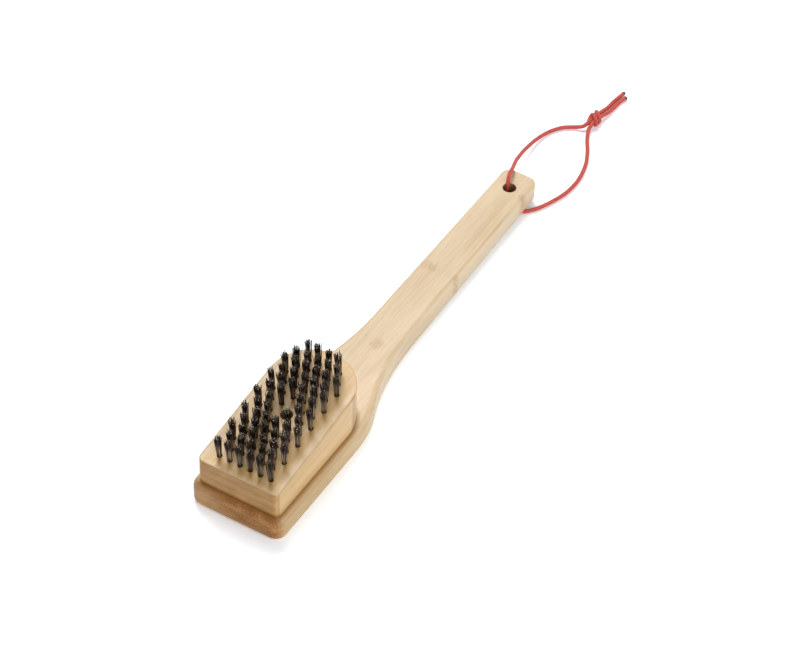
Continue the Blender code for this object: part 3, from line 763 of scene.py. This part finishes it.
def brush_block(rows, material):
    """The wedge: its plan drawn from a circle, raised, cut off at its slope, eased and drilled."""
    bpy.ops.mesh.primitive_circle_add(
        vertices=128, radius=BLOCK_HALF_WIDTH, location=(BLOCK_ARC_X, 0, BLOCK_FOOT_Z), fill_type="NOTHING"
    )
    block = bpy.context.object
    apply_place(block)
    edit(block)
    pick("verts", lambda v: v.co.x < BLOCK_ARC_X - 1e-5)
    bpy.ops.mesh.delete(type="VERT")
    pick("verts", lambda v: abs(v.co.x - BLOCK_ARC_X) < 1e-5)
    bpy.ops.mesh.extrude_vertices_move(TRANSFORM_OT_translate={"value": (BLOCK_LOW.x - BLOCK_ARC_X, 0, 0)})
    bpy.ops.mesh.edge_face_add()
    bpy.ops.mesh.select_all(action="SELECT")
    bpy.ops.mesh.edge_face_add()
    pick("verts", lambda v: abs(v.co.x - BLOCK_LOW.x) < 1e-5)
    bpy.ops.mesh.bevel(offset=BLOCK_CORNER_RADIUS, segments=8, affect="VERTICES")
    bpy.ops.mesh.select_all(action="SELECT")
    tall = 1.2 * (BLOCK_HIGH.z - BLOCK_LOW.z)
    bpy.ops.mesh.extrude_region_move(TRANSFORM_OT_translate={"value": (0, 0, tall)})
    bpy.ops.mesh.select_all(action="SELECT")
    normal = (-math.sin(BLOCK_SLOPE), 0.0, math.cos(BLOCK_SLOPE))
    bpy.ops.mesh.bisect(plane_co=on_slope(0, 0), plane_no=normal, use_fill=True, clear_outer=True)
    close_edit()

    def on_top(edge):
        return all(abs((v.co - on_slope(0, 0)).dot(Vector(normal))) < 1e-5 for v in edge.verts)

    edit(block)
    pick("edges", on_top)
    bpy.ops.mesh.bevel(offset=BLOCK_TOP_EASE, segments=4, affect="EDGES")
    pick("edges", lambda e: all(v.co.z < BLOCK_FOOT_Z + 1e-5 for v in e.verts))
    bpy.ops.mesh.bevel(offset=BLOCK_FOOT_CHAMFER, segments=3, affect="EDGES")
    close_edit()
    in_fixed_order(block)
    cut(block, drill_bit(SCREW_ACCESS_DIAMETER, SCREW_SEAT_Z, 2 * BLOCK_HIGH.z, SCREW_X))
    cut(block, drill_bit(SHANK_PASSAGE_DIAMETER, 0.0, BLOCK_HIGH.z, SCREW_X))
    cut(block, tuft_bits(rows))
    in_fixed_order(block)

    def in_bore(place):
        inner = BLOCK_HALF_WIDTH - TUFT_SIDE_MARGIN / 2
        past = max(0.0, place.x - BLOCK_ARC_X)
        inside = math.hypot(past, place.y) < inner and place.x > BLOCK_LOW.x + TUFT_SIDE_MARGIN / 2
        return inside and place.z > BLOCK_FOOT_Z - 1e-5

    mark_bores(block, in_bore)
    set_down(block, "wedge_block", material)
    smooth(block)
    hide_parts("brush_block")
    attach(block, "head")


def one_wire():
    """One straight wire of unit length standing on Z = 0, as its points and faces."""
    bpy.ops.mesh.primitive_cylinder_add(vertices=4, radius=WIRE_DIAMETER / 2, depth=1, location=(0, 0, 0.5))
    wire = bpy.context.object
    apply_place(wire)
    edit(wire)
    pick("edges", lambda e: abs(e.verts[0].co.z - e.verts[1].co.z) > 0.5)
    bpy.ops.mesh.subdivide(number_cuts=WIRE_CUTS)
    close_edit()
    points = np.array([v.co for v in wire.data.vertices])
    faces = [list(p.vertices) for p in wire.data.polygons]
    bpy.data.objects.remove(wire, do_unlink=True)
    return points, faces


def wire_points(base, up, y, number, spread, draw):
    """One wire of a tuft: spread from its root, bowed, and cut at its own height."""
    golden = math.pi * (3 - math.sqrt(5))
    ring = math.sqrt((number + 0.5) / WIRES_IN_TUFT)
    turn = golden * number + draw.uniform(-0.35, 0.35)
    away = np.array([math.cos(turn), math.sin(turn)])
    root_ring = ring * (TUFT_ROOT_DIAMETER - WIRE_DIAMETER) / 2
    tip_ring = ring * (TUFT_TIP_DIAMETER * spread - WIRE_DIAMETER) / 2 * draw.uniform(0.75, 1.15)
    stray = draw.random() < STRAY_WIRE_SHARE
    scatter = np.array([draw.gauss(0, WIRE_TIP_SCATTER), draw.gauss(0, WIRE_TIP_SCATTER)])
    tip = away * tip_ring + scatter * (4 if stray else 1)
    length = TUFT_LENGTH * (draw.uniform(0.86, 0.99) if not stray else draw.uniform(0.92, 1.03))
    height = base[:, 2]
    bow = np.array([draw.gauss(0, WIRE_BOW), draw.gauss(0, WIRE_BOW)])
    middle = np.sin(math.pi * height)[:, None] * bow
    in_hole = WIRE_ROOT_DEPTH / (WIRE_ROOT_DEPTH + TUFT_LENGTH)
    flare = (np.clip((height - in_hole) / (1 - in_hole), 0, 1) ** 0.85)[:, None]
    across = away * root_ring + flare * (tip - away * root_ring) + middle
    lie = np.column_stack([base[:, :2] + across, -WIRE_ROOT_DEPTH + height * (length + WIRE_ROOT_DEPTH)])
    cos, sin = math.cos(BLOCK_SLOPE), math.sin(BLOCK_SLOPE)
    foot = np.array(on_slope(up, y))
    stood = [lie[:, 0] * cos - lie[:, 2] * sin, lie[:, 1], lie[:, 0] * sin + lie[:, 2] * cos]
    return np.column_stack(stood) + foot


def wire_tufts(rows, material):
    """A piece for each row of tufts, with every wire copied from one."""
    base, faces = one_wire()
    draw = random.Random(7)
    for number, (up, sides) in enumerate(rows, start=1):
        for side, across in sides.items():
            points, quads, tones, heights, ends = [], [], [], [], []
            for y in across:
                lean = (draw.gauss(0, TUFT_LEAN), draw.gauss(0, TUFT_LEAN))
                spread = draw.uniform(0.85, 1.08)
                for wire in range(WIRES_IN_TUFT):
                    placed = wire_points(base, up, y, wire, spread, draw)
                    placed[:, 0] += lean[0] * base[:, 2]
                    placed[:, 1] += lean[1] * base[:, 2]
                    start = len(points) * len(base)
                    points.append(placed)
                    quads.extend([[start + corner for corner in face] for face in faces])
                    # A random tone for each wire, mostly dark; the pale ones stand partly as painted
                    # highlights.
                    tones.extend([draw.random() ** DARK_WIRE_LEAN] * len(base))
                    heights.extend(base[:, 2])
                    ends.extend(all(base[corner, 2] > 1 - 1e-6 for corner in face) for face in faces)
            mesh = bpy.data.meshes.new("wires")
            mesh.from_pydata(np.concatenate(points).tolist(), [], quads)
            for name, values in (("tone", tones), ("height", heights)):
                mesh.attributes.new(name, "FLOAT", "POINT").data.foreach_set("value", values)
            # A random few cut ends are made bright: bare steel at the cut, and painted glints.
            cut_end = [draw.random() ** DARK_CUT_LEAN if end else 0.0 for end in ends]
            mesh.attributes.new("cut_end", "FLOAT", "FACE").data.foreach_set("value", cut_end)
            tuft = bpy.data.objects.new("wires", mesh)
            bpy.context.scene.collection.objects.link(tuft)
            set_down(tuft, f"wires_row_{number:02d}{side}", material)
            mesh.polygons.foreach_set("use_smooth", [not end for end in ends])
            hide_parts(f"tufts_row_{number:02d}{side}")
            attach(tuft, "head")


def smooth_line(route, step):
    """Points a step apart on one smooth curve through the route's own points."""
    points = [np.array(point, float) for point in route]
    padded = [2 * points[0] - points[1], *points, 2 * points[-1] - points[-2]]
    line = [points[0]]
    for before, start, stop, after in zip(padded, padded[1:], padded[2:], padded[3:]):
        span = np.linalg.norm(stop - start)
        lean_in = (stop - before) * span / (span + np.linalg.norm(start - before))
        lean_out = (after - start) * span / (span + np.linalg.norm(after - stop))
        for t in np.linspace(0, 1, 24)[1:]:
            line.append(
                (2 * t**3 - 3 * t**2 + 1) * start
                + (t**3 - 2 * t**2 + t) * lean_in
                + (3 * t**2 - 2 * t**3) * stop
                + (t**3 - t**2) * lean_out
            )
    line = np.array(line)
    lengths = np.concatenate([[0.0], np.cumsum(np.linalg.norm(np.diff(line, axis=0), axis=1))])
    even = np.linspace(0, lengths[-1], max(2, round(lengths[-1] / step)) + 1)
    return np.column_stack([np.interp(even, lengths, line[:, axis]) for axis in range(3)])


def carried_frames(line):
    """Two directions square to the line at each point, carried along it without twisting."""
    along = np.gradient(line, axis=0)
    along /= np.linalg.norm(along, axis=1)[:, None]
    side = np.cross(along[0], [0.0, 0.0, 1.0])
    if np.linalg.norm(side) < 0.1:
        side = np.cross(along[0], [0.0, 1.0, 0.0])
    first = []
    for direction in along:
        side = side - direction * side.dot(direction)
        side = side / np.linalg.norm(side)
        first.append(side)
    first = np.array(first)
    return first, np.cross(along, first)


def braided_tube(name, route, material, sealed_end=False):
    """A round braid along a route: two families of yarns that cross over and under each other."""
    line = smooth_line(route, CORD_RING_STEP)
    first, second = carried_frames(line)
    turn = np.linspace(0, 2 * math.pi, CORD_SIDES, endpoint=False)
    run = np.arange(len(line)) * CORD_RING_STEP
    lay = 2 * math.pi * run[:, None] / BRAID_PITCH
    one_way = np.cos(BRAID_CARRIERS * (turn[None] + lay) / 2)
    other_way = np.cos(BRAID_CARRIERS * (turn[None] - lay) / 2)
    on_top = (1 + one_way * other_way) / 2
    ridge = one_way**2 * on_top + other_way**2 * (1 - on_top)
    radius = CORD_DIAMETER / 2 + BRAID_DEPTH * (ridge - 0.7)
    from_end = run[-1] - run
    if sealed_end:
        melt = np.clip(1 - from_end / (0.25 * CORD_DIAMETER), 0, 1)[:, None]
        radius = radius * (1 - 0.25 * melt**2)
    points = (
        line[:, None]
        + first[:, None] * (np.cos(turn)[None] * radius)[..., None]
        + second[:, None] * (np.sin(turn)[None] * radius)[..., None]
    )
    rings = len(line)
    faces = []
    for ring in range(rings - 1):
        for side in range(CORD_SIDES):
            after = (side + 1) % CORD_SIDES
            low, high = ring * CORD_SIDES, (ring + 1) * CORD_SIDES
            faces.append((low + side, low + after, high + after, high + side))
    faces.append(tuple(reversed(range(CORD_SIDES))))
    faces.append(tuple((rings - 1) * CORD_SIDES + side for side in range(CORD_SIDES)))
    mesh = bpy.data.meshes.new(name)
    mesh.from_pydata(points.reshape(-1, 3).tolist(), [], faces)
    sealed = np.clip(1.8 - from_end / (0.45 * CORD_DIAMETER), 0, 1) if sealed_end else 0 * from_end
    for label, values in (("ridge", ridge), ("sealed", np.repeat(sealed[:, None], CORD_SIDES, axis=1))):
        mesh.attributes.new(label, "FLOAT", "POINT").data.foreach_set("value", values.ravel())
    mesh.shade_smooth()
    tube = bpy.data.objects.new(name, mesh)
    bpy.context.scene.collection.objects.link(tube)
    set_down(tube, name, material)
    return tube, line


def in_knot(along, across, above):
    """A point in the knot's own frame: along the tails, across them and upward."""
    direction = Vector((math.cos(KNOT_TURN), math.sin(KNOT_TURN), 0.0))
    side = Vector((-math.sin(KNOT_TURN), math.cos(KNOT_TURN), 0.0))
    return KNOT_CENTRE + direction * along + side * across + Vector((0.0, 0.0, above))


def knot_route():
    """The knot's outer turns: beside the loop, twice round the core at a slant, and in beside the tails."""
    route = []
    for degrees, along, share in KNOT_TURNS:
        angle = math.radians(degrees)
        across, above = KNOT_HALF_WIDTH * math.cos(angle), KNOT_HALF_HEIGHT * math.sin(angle)
        route.append(in_knot(along / 1000, share * across, share * above))
    return route


def hanging_cord(material):
    """The cord's two strands, each from the hole to its cut end past the knot, and the knot's turns."""
    tail_in, tail_out = in_knot(0.0, KNOT_CORE_SPREAD, 0.0), in_knot(0.0, -KNOT_CORE_SPREAD, 0.0)
    over_route = [*reversed(CORD_ROUTE[: IN_HOLE + 1]), tuple(tail_in), *LONG_TAIL_ROUTE]
    under_route = [*CORD_ROUTE[IN_HOLE:], tuple(tail_out), *SHORT_TAIL_ROUTE]
    over, over_line = braided_tube("cord_over_grip", over_route, material, sealed_end=True)
    under, under_line = braided_tube("cord_under_grip", under_route, material, sealed_end=True)
    knot, _ = braided_tube("knot_turns", [tuple(p) for p in knot_route()], material)
    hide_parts("cord_loop", "cord_tail_long")
    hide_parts("cord_loop", "cord_tail_short")
    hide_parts("cord_knot")
    for piece in (over, under, knot):
        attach(piece, "handle_body")
    for strand, line, length, others in (
        (over, over_line, OVER_GRIP_LENGTH, [knot]),
        (under, under_line, UNDER_GRIP_LENGTH, []),
    ):
        measured = np.linalg.norm(np.diff(line, axis=0), axis=1).sum()
        print(f"{strand.name}: {measured * 1000:.1f} mm")


def head_screw(material):
    """A pan-head screw with a cross recess and a plain core that ends in a point. It has no thread."""
    seat_z = SCREW_SEAT_Z + SCREW_CLEARANCE
    head_radius = (SCREW_HIGH.x - SCREW_LOW.x) / 2
    head_height = SCREW_HIGH.z - seat_z
    bpy.ops.mesh.primitive_cylinder_add(
        vertices=64, radius=head_radius, depth=head_height, location=(SCREW_X, 0, seat_z + head_height / 2)
    )
    screw = bpy.context.object
    apply_place(screw)
    edit(screw)
    pick("edges", lambda e: all(v.co.z > seat_z + head_height / 2 for v in e.verts))
    bpy.ops.mesh.bevel(offset=0.6 * head_height, segments=8, affect="EDGES")
    close_edit()
    tip_z, cone_z = SCREW_LOW.z, SCREW_LOW.z + SCREW_POINT_LENGTH
    core = drill_bit(SCREW_CORE_DIAMETER, cone_z, seat_z + head_height / 4, SCREW_X)
    cut(screw, core, "UNION")
    bpy.ops.mesh.primitive_cone_add(
        vertices=48, radius1=SCREW_CORE_DIAMETER / 2, radius2=0.0001, depth=cone_z - tip_z,
        location=(SCREW_X, 0, (cone_z + tip_z) / 2), rotation=(math.pi, 0, 0),
    )
    point = bpy.context.object
    apply_place(point)
    cut(screw, point, "UNION")
    for turn in (0.0, math.pi / 2):
        bpy.ops.mesh.primitive_cube_add(
            size=1, location=(SCREW_X, 0, seat_z + 1.5 * head_height), rotation=(0, 0, turn)
        )
        slot_tool = bpy.context.object
        slot_tool.scale = (CROSS_RECESS_LENGTH, CROSS_RECESS_WIDTH, 2 * head_height)
        apply_place(slot_tool)
        cut(screw, slot_tool)
    set_down(screw, "pan_head_screw", material)
    smooth(screw)
    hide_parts("head_screw")
    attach(screw, "screw")


def floor_and_light():
    """A plain pale floor, soft studio lamps and a white surround that only the camera and gloss see."""
    bpy.ops.mesh.primitive_plane_add(size=8, location=(0, 0, -0.0002))
    floor = bpy.context.object
    material, tree, shader = new_material("floor", 0.9)
    rays = add_node(tree, "LightPath")
    seen = maths(tree, "MAXIMUM", rays.outputs["Is Camera Ray"], rays.outputs["Is Glossy Ray"])
    seen = maths(tree, "MAXIMUM", seen, rays.outputs["Is Transmission Ray"])
    colour = mix_colour(tree, seen, (0.85, 0.85, 0.85), (1.40, 1.50, 1.60))
    tree.links.new(colour, shader.inputs["Base Color"])
    tree.links.new(maths(tree, "MULTIPLY", seen, 0.15), shader.inputs["Emission Strength"])
    shader.inputs["Emission Color"].default_value = (1.0, 1.0, 1.0, 1.0)
    shader.inputs["Specular IOR Level"].default_value = 0.0
    set_down(floor, "floor", material)

    world = bpy.data.worlds.new("surround")
    world.use_nodes = True
    bpy.context.scene.world = world
    tree = world.node_tree
    background = tree.nodes["Background"]
    rays = add_node(tree, "LightPath")
    seen = maths(tree, "MAXIMUM", rays.outputs["Is Camera Ray"], rays.outputs["Is Glossy Ray"])
    seen = maths(tree, "MAXIMUM", seen, rays.outputs["Is Transmission Ray"])
    tree.links.new(mix_colour(tree, seen, (0.25, 0.25, 0.25), (1.0, 1.0, 1.0)), background.inputs["Color"])

    for name, place, size, power in (
        ("key", (0.450, 0.450, 1.246), 0.70, 12.8),
        ("fill", (-0.600, -1.245, 0.585), 1.0, 11.2),
    ):
        lamp = bpy.data.lights.new(name, "AREA")
        lamp.size = size
        lamp.energy = power
        holder = bpy.data.objects.new(name, lamp)
        holder.location = place
        holder.rotation_euler = (-Vector(place)).to_track_quat("-Z", "Y").to_euler()
        bpy.context.scene.collection.objects.link(holder)


bpy.context.scene.view_settings.view_transform = "Standard"
camera()
hanging_cord(braided_cord())
handle_board(
    bamboo(
        "handle_bamboo",
        light=(0.76, 0.595, 0.385),
        dark=(0.61, 0.435, 0.230),
        end_light=(0.60, 0.315, 0.118),
        end_dark=(0.37, 0.160, 0.042),
        end_fade=0.55,
        layer_edge=0.0,
        layer_height=0.0052,
        pale_layer=4,
        layer_band=0.12,
        side_shade_colour=(0.84, 0.755, 0.56),
        end_x=BOARD_LOW.x + END_GRAIN_REACH,
        marks=BOARD_NODES,
    )
)
tufts = tuft_rows()
brush_block(
    tufts,
    bamboo(
        "block_bamboo",
        light=(0.69, 0.50, 0.255),
        dark=(0.57, 0.385, 0.165),
        end_light=(0.64, 0.375, 0.160),
        end_dark=(0.50, 0.283, 0.104),
        end_fade=0.0,
        layer_edge=BLOCK_LOW.z + 0.0005,
        layer_height=0.0054,
        pale_layer=1,
        layer_band=0.30,
        side_shade_colour=(1.00, 0.91, 0.74),
        end_x=BLOCK_LOW.x,
        seam=(BLOCK_SEAM_Y, BLOCK_SEAM_KNOT_X),
    ),
)
wire_tufts(tufts, wire_steel())
head_screw(screw_steel())
floor_and_light()
